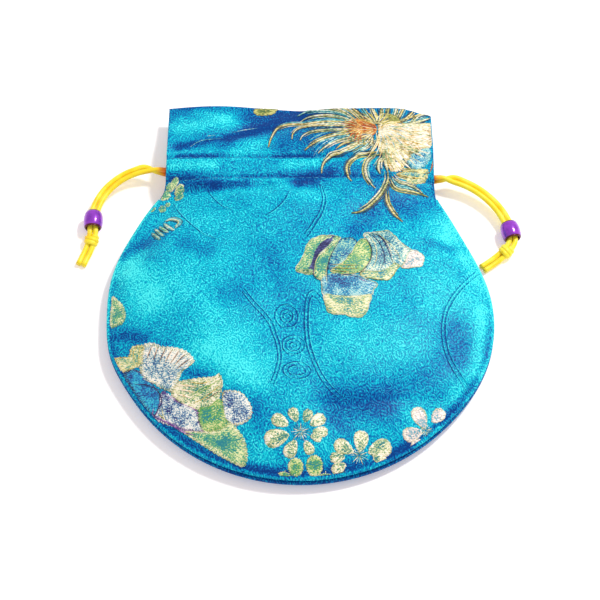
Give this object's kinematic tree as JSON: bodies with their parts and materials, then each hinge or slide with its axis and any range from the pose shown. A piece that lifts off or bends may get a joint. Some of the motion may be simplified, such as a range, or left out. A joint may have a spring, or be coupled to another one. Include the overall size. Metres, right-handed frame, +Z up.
{
  "type": "drawstring pouch",
  "caption": "Flat round drawstring pouch of satin brocade with a straight neck, cased cords that close it, sliding cord beads and raised flower fields.",
  "frame": {"origin": "on the table, under the middle of the pouch's cloth", "axes": "+Y from the round body to the mouth, +Z up out of the front panel, +X to the right seen from the front"},
  "size_m": [0.1417, 0.1344, 0.0145],
  "materials": {
    "brocade": "satin",
    "cord_satin": "satin",
    "bead_plastic": "gloss",
    "gold_thread": "satin",
    "iris_thread": "satin",
    "peony_thread": "satin",
    "leaf_thread": "satin"
  },
  "bodies": {
    "pouch": {"front_panel": "brocade", "back_panel": "brocade", "drawcord_left": "cord_satin", "drawcord_right": "cord_satin", "chrysanthemum": "gold_thread", "iris": "iris_thread", "peony": "peony_thread", "peony_bud": "leaf_thread", "blossom_1": "leaf_thread", "blossom_2": "leaf_thread", "blossom_3": "leaf_thread", "blossom_4": "leaf_thread", "sprig_upper": "leaf_thread", "sprig_lower": "leaf_thread", "edge_leaf": "leaf_thread"},
    "left_bead": {"bead_left": "bead_plastic"},
    "right_bead": {"bead_right": "bead_plastic"}
  },
  "joints": [
    {"name": "left_bead_on_cord", "type": "hinge", "parent": "pouch", "child": "left_bead", "pos_m": [-0.04764, 0.0258, 0.00544], "axis": [0.1219, 0, -0.9925], "range_deg": [0, 70]},
    {"name": "right_bead_on_cord", "type": "hinge", "parent": "pouch", "child": "right_bead", "pos_m": [0.04314, 0.0164, 0.00569], "axis": [0.1045, 0, 0.9945], "range_deg": [0, 52]}
  ]
}
